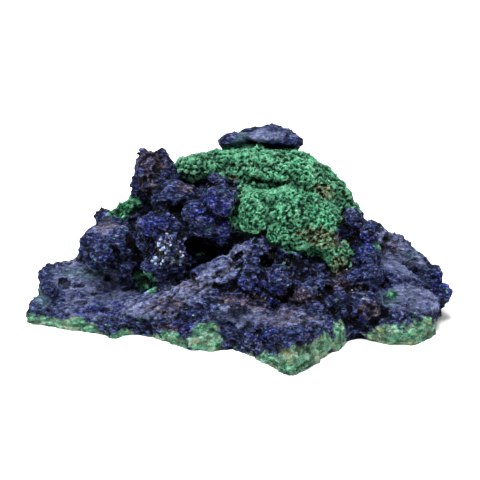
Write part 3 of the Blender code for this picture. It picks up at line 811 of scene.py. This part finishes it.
def malachite_colour(tree, where, grain, colours):
    """Malachite is a green copper carbonate.  Its felted needles are pale where they stand free
    and dark between, with brown limonite in places.  Where the dull zone lies, shade is painted
    in as darker, duller felt."""
    moss, olive = (
        add_node(tree, "ShaderNodeValToRGB", {}, {"Fac": grain}, shades(colour)).outputs["Color"]
        for colour in (colours.moss, colours.olive))
    return laid_over(tree, moss, (
        (patches(tree, where, 3.4, 0.46, 0.60), PALE_FELT, 0.45),
        (patches(tree, where, 3.2, 0.54, 0.42), DARK_FELT, 0.75),
        # Painted shade: darker, duller felt inside the dull zone.
        (patches(tree, where, 2.4, 0.20, 0.50, zone="dull"), SHADED_FELT, 0.75),
        (patches(tree, where, 2.0, 0.32, 0.50, zone="brown"), olive, 0.85),
        (patches(tree, where, 1.0, 0.44, 0.56, zone="brown"), BROWN_CLAY, 0.75),
        (patches(tree, where, 0.9, 0.62, 0.70), LIMONITE, 0.7)))


def bed_colour(tree, where, colours):
    """The malachite bed is pale and fibrous, with tan and rusty limonite in streaks, painted shade
    in patches and finer darker specks.
    """
    fibres = add_node(tree, "ShaderNodeMapping", {}, {
        "Vector": where, "Scale": (0.30, 0.60, 1.0), "Rotation": (0.3, 0.5, 0.2)}).outputs["Vector"]
    body = add_node(tree, "ShaderNodeValToRGB", {}, {
        "Fac": patches(tree, fibres, 0.9, 0.30, 0.70)}, shades(colours.bed)).outputs["Color"]
    return laid_over(tree, body, (
        (patches(tree, where, 3.0, 0.48, 0.62), PALE_BED, 0.6),
        (patches(tree, fibres, 2.0, 0.52, 0.62), TAN_BED, 0.6),
        (patches(tree, fibres, 1.0, 0.60, 0.68), RUSTY_BED, 0.85),
        # Painted shade in patches on the bed.
        (patches(tree, where, 2.0, 0.52, 0.42), BED_SHADE, 0.75),
        # Finer darker specks on the bed.
        (patches(tree, where, 0.7, 0.44, 0.34), BED_DARK_SPECKS, 0.4)))


def stone_material(colours):
    """Azurite with malachite grown through it, as it comes from the rock: dull and powdery, for
    its crystals are too small to shine together."""
    material, tree, shader = new_material("azurite_on_malachite")
    where = add_node(tree, "ShaderNodeTexCoord").outputs["Object"]
    streaked = add_node(tree, "ShaderNodeMapping", {}, {
        "Vector": where, "Scale": (0.40, 0.70, 1.0), "Rotation": (0.0, 0.4, 0.2)}).outputs["Vector"]
    fine = add_node(tree, "ShaderNodeTexNoise", {}, {
        "Vector": streaked, "Scale": 1 / (AZURITE_GRAIN * MM), "Detail": 4.0,
        "Roughness": 0.75}).outputs["Fac"]
    grain = add_node(tree, "ShaderNodeMapRange", {}, {
        "Value": fine, "From Min": 0.39, "From Max": 0.67}).outputs["Result"]
    malachite, bed = (add_node(tree, "ShaderNodeAttribute", {"attribute_name": name}).outputs["Fac"]
                      for name in ("malachite", "bed"))
    green = malachite_colour(tree, where, grain, colours)
    body = laid_over(tree, azurite_colour(tree, where, grain, colours), (
        (patches(tree, where, 1.3, 0.66, 0.69, detail=2.0), green, 0.8),
        (malachite, green, 1.0),
        (bed, bed_colour(tree, where, colours), 1.0)))
    # Painted shade darkens the colour where the surface lies deep.
    set_finish(tree, shader, with_painted_shade(tree, body), 0.75, AZURITE_IOR, 0.04)
    streaks = add_node(tree, "ShaderNodeBump", {}, {"Height": fine, "Distance": 0.5 * MM})
    facets = add_node(tree, "ShaderNodeTexVoronoi", {}, {
        "Vector": where, "Scale": 1 / (AZURITE_FACET * MM)}).outputs["Distance"]
    crystals = add_node(tree, "ShaderNodeBump", {}, {
        "Height": facets, "Distance": 0.15 * MM, "Normal": streaks.outputs["Normal"]})
    tree.links.new(crystals.outputs["Normal"], shader.inputs["Normal"])
    return material


def druse_material(colours):
    """Small azurite crystals: glassy faces that catch the light, the larger ones painted pale as
    glints.
    """
    material, tree, shader = new_material("azurite_crystals")
    tone = add_node(tree, "ShaderNodeAttribute", {"attribute_name": "tone"}).outputs["Fac"]
    dull = add_node(tree, "ShaderNodeMath", {"operation": "MULTIPLY"},
                    {0: tone, 1: 0.75}).outputs[0]
    where = add_node(tree, "ShaderNodeTexCoord").outputs["Object"]
    shine = add_node(tree, "ShaderNodeAttribute", {"attribute_name": "glitter"}).outputs["Fac"]
    # Painted glints: the larger crystals are coloured from dark blue up to pale blue-white.
    faces = add_node(tree, "ShaderNodeValToRGB", {}, {"Fac": tone}, [
        (place, on_linear(colour)) for place, colour in PAINTED_GLINT_TONES]).outputs["Color"]
    body = laid_over(tree, azurite_colour(tree, where, dull, colours), ((shine, faces, 1.0),))
    # Painted shade darkens the crystals' colour where the surface lies deep.
    set_finish(tree, shader, with_painted_shade(tree, body), 0.38, AZURITE_IOR, 0.3)
    return material


def needle_material(colours):
    """Malachite needles: silky fibres, pale where they stand free, partly their own colour and
    partly painted highlight.
    """
    material, tree, shader = new_material("malachite_needles")
    tone = add_node(tree, "ShaderNodeAttribute", {"attribute_name": "tone"}).outputs["Fac"]
    # Needles are painted paler than the ground: partly their own colour, partly painted highlight.
    pale = add_node(tree, "ShaderNodeMath", {"operation": "MULTIPLY_ADD"},
                    {0: tone, 1: 0.65, 2: 0.35}).outputs[0]
    where = add_node(tree, "ShaderNodeTexCoord").outputs["Object"]
    body = malachite_colour(tree, where, pale, colours)
    # Painted shade darkens the needles' colour where the surface lies deep.
    set_finish(tree, shader, with_painted_shade(tree, body, GREEN), 0.6, MALACHITE_IOR, 0.2)
    return material


def crust_material(colours):
    """The ground that the needles stand on: malachite in matted fibres, soft and without shine,
    with a painted highlight where the felt stands proud and painted shade in its gaps, laid at
    random."""
    material, tree, shader = new_material("malachite_crust")
    where = add_node(tree, "ShaderNodeTexCoord").outputs["Object"]
    fine = add_node(tree, "ShaderNodeTexNoise", {}, {
        "Vector": where, "Scale": 1 / (MALACHITE_FELT * MM), "Detail": 5.0, "Roughness": 0.85,
        "Distortion": 0.6}).outputs["Fac"]
    grain = add_node(tree, "ShaderNodeMapRange", {}, {
        "Value": fine, "From Min": 0.39, "From Max": 0.61}).outputs["Result"]
    # Painted highlight: the felt is lighter where it stands proud of the surface around it.
    proud = add_node(tree, "ShaderNodeAttribute", {"attribute_name": "relief"}).outputs["Fac"]
    painted_highlight = add_node(tree, "ShaderNodeMapRange", {}, {
        "Value": proud, "From Min": 0.06, "From Max": 0.30}).outputs["Result"]
    body = laid_over(tree, malachite_colour(tree, where, grain, colours), (
        # Painted shade in the gaps of the felt, laid in random patches.
        (patches(tree, where, MALACHITE_FELT, 0.56, 0.46), FELT_GAP_SHADE, 0.7),
        (painted_highlight, FELT_HIGHLIGHT, 0.45)))
    # Painted shade darkens the crust's colour where the surface lies deep.
    set_finish(tree, shader, with_painted_shade(tree, body, GREEN), 0.7, MALACHITE_IOR, 0.05)
    bump = add_node(tree, "ShaderNodeBump", {}, {"Height": fine, "Distance": 0.5 * MM})
    tree.links.new(bump.outputs["Normal"], shader.inputs["Normal"])
    return material


def settle(piece, material):
    """Gives the finished piece its material, body and slot."""
    piece.data.materials.clear()
    piece.data.materials.append(material)
    piece.vertex_groups.clear()
    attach(piece, BODY)


def cut_base(piece, height=0.35):
    """Cuts the piece flat just above the rest face, closes the cut and lets it down to z = 0."""
    edit_whole(piece)
    bpy.ops.mesh.bisect(plane_co=(0, 0, height * MM), plane_no=(0, 0, 1), clear_inner=True,
                        use_fill=True, threshold=1e-6)
    bpy.ops.transform.resize(value=(1, 1, 0), center_override=(0, 0, 0))
    bpy.ops.object.mode_set(mode="OBJECT")


def set_depths(piece, dents, smooth=(), fine_weight=1.0):
    """Notes how deep each point lies, for the painted shade and, on the crust, its painted
    highlight:
    in fine relief, between lumps, in hollows and in pits.  Inside the smooth blobs these hardly
    count, for the light reaches all of such a slope."""
    points = points_of(piece)
    rough = 1 - 0.8 * inside(points, smooth, soft=0.8)
    set_attribute(piece, "relief", relief(piece, passes=6) * rough * fine_weight)
    set_attribute(piece, "hollow", relief(piece, passes=90) * rough)
    set_attribute(piece, "shelter", shelter(piece) * (0.5 + 0.5 * rough))
    set_attribute(piece, "pit", inside(points, dents, 0.3 * noise_at(points, 1.2), soft=0.9))


def colour_property(name, description, hex_colour):
    return bpy.props.FloatVectorProperty(name=name, description=description, subtype="COLOR",
                                         size=3, default=on_linear(hex_colour))


def length_property(name, description, millimetres):
    return bpy.props.FloatProperty(name=name, description=description, unit="LENGTH",
                                   precision=5, default=millimetres * MM)


class SpecimenColours(bpy.types.PropertyGroup):
    deep: colour_property("Azurite", "Colour of the azurite crystals", "#2c365f")
    bright: colour_property("Bright azurite", "Colour of clean azurite", "#2b3478")
    pale: colour_property("Azurite powder", "Colour of powdery azurite", "#70789b")
    brown: colour_property("Clay", "Colour of clay on the azurite", "#5a4a50")
    teal: colour_property("Green sheen", "Colour where azurite turns green", "#506a78")
    moss: colour_property("Malachite", "Colour of the malachite needles", "#418a66")
    olive: colour_property("Stained malachite", "Colour of stained malachite", "#6f7354")
    bed: colour_property("Bed", "Colour of the malachite bed", "#5c9276")


class SpecimenStone(bpy.types.PropertyGroup):
    grid: length_property("Grid", "Width of the mesh cells of the stone", 0.38)


def group_stone(piece):
    """Groups the stone's points by how their surface is broken.  What it rests on is in none."""
    points = points_of(piece)
    free = 1.0 - ((normals_of(piece)[:, 2] < -0.7) & (points[:, 2] < REST_RIM))
    covered = crusted(points, soft=0.3)
    drawn_out = {name: free * inside(points, blobs, soft=0.5)
                 for name, (_, blobs) in STREAKS.items()}
    drawn_out["layers"] = free * inside(points, BED, soft=0.5)
    even = 0.7 * np.max([*drawn_out.values(), inside(points, WORN, soft=0.5)], axis=0)
    between_foot_and_top = fade(points[:, 2], 3.0, 6.0) * fade(points[:, 2], 34.0, 28.0)
    groups = {
        "open": free * (1.0 - covered),
        "craggy": free * (1.0 - even) * (1.0 - covered),
        "dents": free * inside(points, PITS, 0.4 * noise_at(points, 1.4), soft=0.8),
        **drawn_out,
        "covered": covered,
        "back": between_foot_and_top * fade(points[:, 1], 11.0, 16.0),
    }
    for name, weights in groups.items():
        set_group(piece, name, weights)


def break_up_stone(piece):
    """Gives the stone its relief, from its pits and the lumps of its back to its grain."""
    push_in(piece, "dents", 1.3)
    push_in(piece, "covered", 1.0)
    wear_down(piece, "back", 100)
    roughen(piece, "CLOUDS", 8.0, 4.0, "back", **CLOUDY, noise_depth=2)
    roughen(piece, "VORONOI", 6.0, 2.4, "back", 0.3, **CELLS)
    roughen(piece, "CLOUDS", 5.0, 1.4, "craggy", **CLOUDY, noise_depth=2)
    roughen(piece, "VORONOI", 3.4, 1.3, "craggy", 0.3, **CELLS)
    roughen(piece, "DISTORTED_NOISE", 2.2, -0.4, "craggy", **CHIPS, distortion=0.8)
    for name, (way, _) in (*STREAKS.items(), ("layers", (BED_WAY, BED))):
        roughen(piece, "CLOUDS", 1.0, 1.6, name, way=way, **CLOUDY, noise_depth=3)
    roughen(piece, "CLOUDS", 1.6, 0.8, "craggy", 0.7, noise_basis="VORONOI_F2_F1", noise_depth=3)
    roughen(piece, "CLOUDS", 0.7, 0.6, "open", **CLOUDY, noise_depth=2)


def mark_stone(piece):
    """Notes where the stone has which colour, how deep it lies for the painted shade, and where
    crystals stand.
    """
    points = points_of(piece)
    ragged = ragged_edge(points)
    set_attribute(piece, "malachite", np.maximum(crusted(points, ragged),
                                                 inside(points, TUFTS, 2.5 * ragged)))
    bed_top = 0.4 + 0.9 * noise_at(points, 5.0, 3)
    set_attribute(piece, "bed", np.maximum(inside(points, BED, 2.4 * ragged),
                                           fade(bed_top - points[:, 2], 0, 0.4)))
    for name, blobs in (("bright", BRIGHT), ("pale", PALE), ("brown", BROWN), ("teal", TEAL),
                        ("glitter", GLITTER)):
        set_attribute(piece, name, inside(points, blobs, ragged, soft=0.7))
    slabs = [blob for name in ("left_slab", "apron", "right_slab") for blob in STREAKS[name][1]]
    set_depths(piece, PITS, BED + WORN + slabs)
    malachite, bed, bright, glitter = (
        attribute_of(piece, name) for name in ("malachite", "bed", "bright", "glitter"))
    bare = (1 - np.maximum(malachite, bed)) * (points[:, 2] > REST_CLEAR)
    set_attribute(piece, "druse", bare * (0.2 + 0.7 * bright + 3.5 * glitter))


class SPECIMEN_OT_stone(bpy.types.Operator):
    """The whole stone in azurite, with its malachite bed and patches."""
    bl_idname = "specimen.stone"
    bl_label = "Stone"

    def execute(self, context):
        piece = stone_copy("azurite_mass")
        add_boulders(piece, BOULDERS)
        remesh(piece, context.scene.specimen_stone.grid)
        group_stone(piece)
        break_up_stone(piece)
        thin_out(piece, MOST_TRIANGLES)
        mark_stone(piece)
        cut_base(piece)
        drop_crumbs(piece)
        settle(piece, stone_material(context.scene.specimen_colours))
        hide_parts(NODE)
        return {"FINISHED"}


class SpecimenCrust(bpy.types.PropertyGroup):
    grid: length_property("Grid", "Width of the mesh cells of the crust", 0.30)
    thickness: length_property("Thickness", "How thick the malachite crust is", 3.0)


def shape_crust(piece, thickness, grid):
    """Keeps the part of the stone's surface that malachite covers and makes it that thick."""
    remesh(piece, SHELL_GRID * MM)
    points = points_of(piece)
    select_points(piece, crusted(points, 0.14 * noise_at(points, 3.0, 3)) < 0.5)
    delete_selected()
    shell = piece.modifiers.new("thickness", "SOLIDIFY")
    shell.thickness = thickness
    shell.offset = SHELL_OFFSET
    remesh(piece, grid)
    drop_crumbs(piece)


def break_up_crust(piece):
    """Gives the crust its relief, from the folds along the crest to the felt."""
    set_group(piece, "crest", fade(points_of(piece)[:, 1], 4.0, 6.0))
    roughen(piece, "CLOUDS", 2.6, 2.8, "crest", 0.14, way=CREST_WAY, **CLOUDY,
            noise_type="HARD_NOISE", noise_depth=1)
    roughen(piece, "VORONOI", 3.0, 0.8, level=0.3, **CELLS)
    roughen(piece, "DISTORTED_NOISE", 1.8, -0.4, **CHIPS, distortion=0.8)
    roughen(piece, "MUSGRAVE", 0.9, 0.4, level=0.8, **CLOUDY,
            musgrave_type="RIDGED_MULTIFRACTAL")
    roughen(piece, "CLOUDS", 0.5, 0.6, **CLOUDY, noise_depth=2)


def mark_crust(piece):
    """Notes where the crust is stained or painted with shade, how deep it lies and where needles
    stand.
    """
    points = points_of(piece)
    ragged = ragged_edge(points)
    set_attribute(piece, "brown", inside(points, BROWN, ragged, soft=0.7))
    # The dull zone is painted shade on the crest's left end and right shoulder.
    set_attribute(piece, "dull", inside(points, CREST_SHADE, ragged, soft=0.7))
    set_attribute(piece, "mossy", outer_side(piece))
    set_depths(piece, [], fine_weight=1.5)


class SPECIMEN_OT_crust(bpy.types.Operator):
    """The crust of malachite over the crest, with the block that hangs over the front."""
    bl_idname = "specimen.crust"
    bl_label = "Malachite crust"

    def execute(self, context):
        settings = context.scene.specimen_crust
        piece = stone_copy("malachite_crust")
        shape_crust(piece, settings.thickness, settings.grid)
        break_up_crust(piece)
        mark_crust(piece)
        settle(piece, crust_material(context.scene.specimen_colours))
        return {"FINISHED"}


class SpecimenDruse(bpy.types.PropertyGroup):
    crystal: bpy.props.FloatVectorProperty(
        name="Crystal", description="Width, depth and length of a crystal", size=3,
        default=(0.26 * MM, 0.36 * MM, 0.50 * MM), subtype="XYZ_LENGTH", precision=5)
    per_mm2: bpy.props.FloatProperty(
        name="Crystals to the mm2", description="How close the crystals stand", default=1.0)


class SPECIMEN_OT_druse(bpy.types.Operator):
    """Small azurite crystals over the stone."""
    bl_idname = "specimen.druse"
    bl_label = "Azurite crystals"

    def execute(self, context):
        settings = context.scene.specimen_druse
        deselect_all()
        bpy.ops.mesh.primitive_cube_add(size=1.0)
        crystal = context.object
        bpy.ops.object.mode_set(mode="EDIT")
        bpy.ops.transform.resize(value=settings.crystal)
        bpy.ops.mesh.bevel(offset=0.08 * MM, segments=1, affect="EDGES")
        bpy.ops.object.mode_set(mode="OBJECT")
        piece = grow("azurite_druse", "azurite_mass", crystal, settings.per_mm2, sizes=(0.4, 1.0),
                     lean=math.pi, seed=11, where="druse")
        settle(piece, druse_material(context.scene.specimen_colours))
        return {"FINISHED"}


class SpecimenNeedles(bpy.types.PropertyGroup):
    length: length_property("Length", "Length of a needle", 0.5)
    per_mm2: bpy.props.FloatProperty(
        name="Needles to the mm2", description="How close the needles stand", default=9.0)


class SPECIMEN_OT_needles(bpy.types.Operator):
    """Felted malachite needles over the crust, as coarse as they need to be to show."""
    bl_idname = "specimen.needles"
    bl_label = "Malachite needles"

    def execute(self, context):
        settings = context.scene.specimen_needles
        deselect_all()
        bpy.ops.mesh.primitive_cone_add(
            vertices=3, radius1=0.09 * MM, radius2=0.03 * MM, depth=settings.length,
            location=(0, 0, 0.3 * settings.length))
        needle = context.object
        bpy.ops.object.transform_apply(location=True)
        piece = grow("malachite_needles", "malachite_crust", needle, settings.per_mm2,
                     sizes=(0.4, 1.1), lean=1.3, seed=5, where="mossy")
        settle(piece, needle_material(context.scene.specimen_colours))
        return {"FINISHED"}


class SpecimenStage(bpy.types.PropertyGroup):
    floor_colour: colour_property("Floor", "Colour of the floor", "#f4f4f2")
    softbox: length_property("Softbox", "Width of the light above", 350.0)
    fills: length_property("Fill lights", "Width of the lights around", 400.0)


def floor_material(colour):
    """Matt white paper: an even ground that takes a soft shadow."""
    material, _, shader = new_material("floor_paper")
    shader.inputs["Base Color"].default_value = (*colour, 1.0)
    shader.inputs["Roughness"].default_value = 0.9
    return material


def add_softbox(place, width, power):
    """Adds a square light of that width and power that faces the stone."""
    bpy.ops.object.light_add(type="AREA", location=place)
    light = bpy.context.object
    light.data.size = width
    light.data.energy = power
    light.rotation_mode = "QUATERNION"
    aim = Vector((0, 0, LIGHT_AIM * MM)) - Vector(place)
    light.rotation_quaternion = aim.to_track_quat("-Z", "Y")


def add_camera():
    """Adds the camera, which looks along +Y and down on the stone."""
    rise = math.radians(CAMERA_RISE)
    target = Vector(CAMERA_TARGET) * MM
    away = CAMERA_DISTANCE * MM * Vector((0, -math.cos(rise), math.sin(rise)))
    bpy.ops.object.camera_add(location=target + away, rotation=(math.pi / 2 - rise, 0, 0))
    camera = bpy.context.object
    camera.data.sensor_width = 36
    camera.data.lens = CAMERA_LENS
    camera.data.clip_start = 0.01
    return camera


class SPECIMEN_OT_stage(bpy.types.Operator):
    """A plain pale floor, soft studio light and the camera."""
    bl_idname = "specimen.stage"
    bl_label = "Stage"

    def execute(self, context):
        settings = context.scene.specimen_stage
        deselect_all()
        bpy.ops.mesh.primitive_plane_add(size=6.0, location=(0, 0, 0))
        floor = context.object
        floor.name = "floor"
        floor.data.materials.append(floor_material(settings.floor_colour))
        add_softbox((-0.06, -0.10, 0.60), settings.softbox, 9.0)
        for place, power in FILLS:
            add_softbox(place, settings.fills, power)
        world = bpy.data.worlds.new("studio")
        world.use_nodes = True
        sky = world.node_tree.nodes["Background"]
        sky.inputs["Color"].default_value = (1, 1, 1, 1)
        sky.inputs["Strength"].default_value = 0.5
        context.scene.world = world
        context.scene.camera = add_camera()
        context.scene.view_settings.view_transform = "Standard"
        return {"FINISHED"}


class SPECIMEN_PT_panel(bpy.types.Panel):
    bl_label = "Azurite specimen"
    bl_idname = "SPECIMEN_PT_panel"
    bl_space_type = "VIEW_3D"
    bl_region_type = "UI"
    bl_category = "Specimen"

    def draw(self, context):
        for operator in OPERATORS:
            self.layout.operator(operator.bl_idname)


OPERATORS = (SPECIMEN_OT_stone, SPECIMEN_OT_crust, SPECIMEN_OT_druse, SPECIMEN_OT_needles,
             SPECIMEN_OT_stage)
SETTINGS = {"specimen_colours": SpecimenColours, "specimen_stone": SpecimenStone,
            "specimen_crust": SpecimenCrust, "specimen_druse": SpecimenDruse,
            "specimen_needles": SpecimenNeedles, "specimen_stage": SpecimenStage}


def register():
    for name, settings in SETTINGS.items():
        bpy.utils.register_class(settings)
        setattr(bpy.types.Scene, name, bpy.props.PointerProperty(type=settings))
    for item in (*OPERATORS, SPECIMEN_PT_panel):
        bpy.utils.register_class(item)


def unregister():
    for item in reversed((*OPERATORS, SPECIMEN_PT_panel)):
        bpy.utils.unregister_class(item)
    for name, settings in SETTINGS.items():
        delattr(bpy.types.Scene, name)
        bpy.utils.unregister_class(settings)


def main():
    register()
    bpy.ops.specimen.stone()
    bpy.ops.specimen.crust()
    bpy.ops.specimen.druse()
    bpy.ops.specimen.needles()
    bpy.ops.specimen.stage()


if __name__ == "__main__":
    main()
